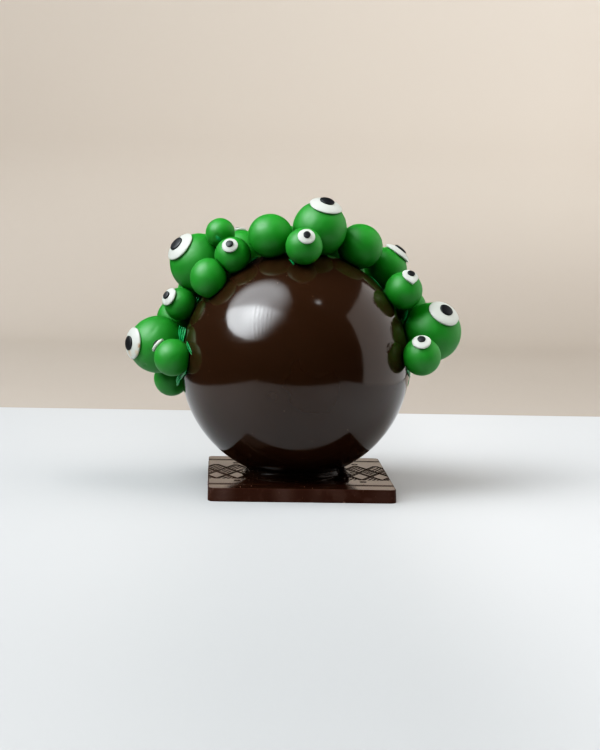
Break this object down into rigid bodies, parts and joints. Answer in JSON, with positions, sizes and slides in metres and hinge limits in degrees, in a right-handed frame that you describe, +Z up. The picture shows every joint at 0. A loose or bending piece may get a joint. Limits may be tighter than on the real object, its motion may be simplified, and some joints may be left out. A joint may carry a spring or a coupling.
{
  "type": "chocolate ball with modelling paste bubbles",
  "caption": "Glossy dark chocolate ball stuck on a flat chocolate tablet, with a garland of green paste bubbles with staring eyes over its top.",
  "frame": {"origin": "middle of the tablet's flat underside", "axes": "+Z up, -Y towards the front seen in the picture, +X to the right of that view, along the garland"},
  "size_m": [0.2199, 0.15, 0.1902],
  "materials": {
    "chocolate_gloss": "high gloss tempered dark chocolate",
    "chocolate_tablet": "satin dark chocolate with a moulded top",
    "green_paste": "matt to satin green modelling paste",
    "white_paste": "matt white modelling paste",
    "green_glue": "wet-looking coloured chocolate that glues the bubbles on",
    "black_paste": "satin black modelling paste"
  },
  "bodies": {
    "root": {"tablet": "chocolate_tablet", "melted_foot": "chocolate_gloss", "ball": "chocolate_gloss", "bubble_01": "green_paste", "bubble_02": "green_paste", "eye_white_02": "white_paste", "pupil_02": "black_paste", "bubble_03": "green_paste", "eye_white_03": "white_paste", "pupil_03": "black_paste", "bubble_04": "green_paste", "bubble_05": "green_paste", "eye_white_05": "white_paste", "pupil_05": "black_paste", "bubble_06": "green_paste", "bubble_07": "green_paste", "bubble_08": "green_paste", "eye_white_08": "white_paste", "pupil_08": "black_paste", "bubble_09": "green_paste", "bubble_10": "green_paste", "eye_white_10": "white_paste", "pupil_10": "black_paste", "bubble_11": "green_paste", "eye_white_11": "white_paste", "pupil_11": "black_paste", "bubble_12": "green_paste", "bubble_13": "green_paste", "bubble_14": "green_paste", "eye_white_14": "white_paste", "pupil_14": "black_paste", "bubble_15": "green_paste", "eye_white_15": "white_paste", "pupil_15": "black_paste", "bubble_16": "green_paste", "eye_white_16": "white_paste", "pupil_16": "black_paste", "bubble_17": "green_paste", "bubble_18": "green_paste", "bubble_19": "green_paste", "eye_white_19": "white_paste", "pupil_19": "black_paste", "bubble_20": "green_paste", "eye_white_20": "white_paste", "pupil_20": "black_paste", "bubble_21": "green_paste", "bubble_22": "green_paste", "eye_white_22": "white_paste", "pupil_22": "black_paste", "bubble_23": "green_paste", "eye_white_23": "white_paste", "pupil_23": "black_paste", "bubble_24": "green_paste", "eye_white_24": "white_paste", "pupil_24": "black_paste", "bubble_25": "green_paste", "bubble_26": "green_paste", "bubble_27": "green_paste", "bubble_28": "green_paste", "bubble_29": "green_paste"}
  },
  "joints": []
}
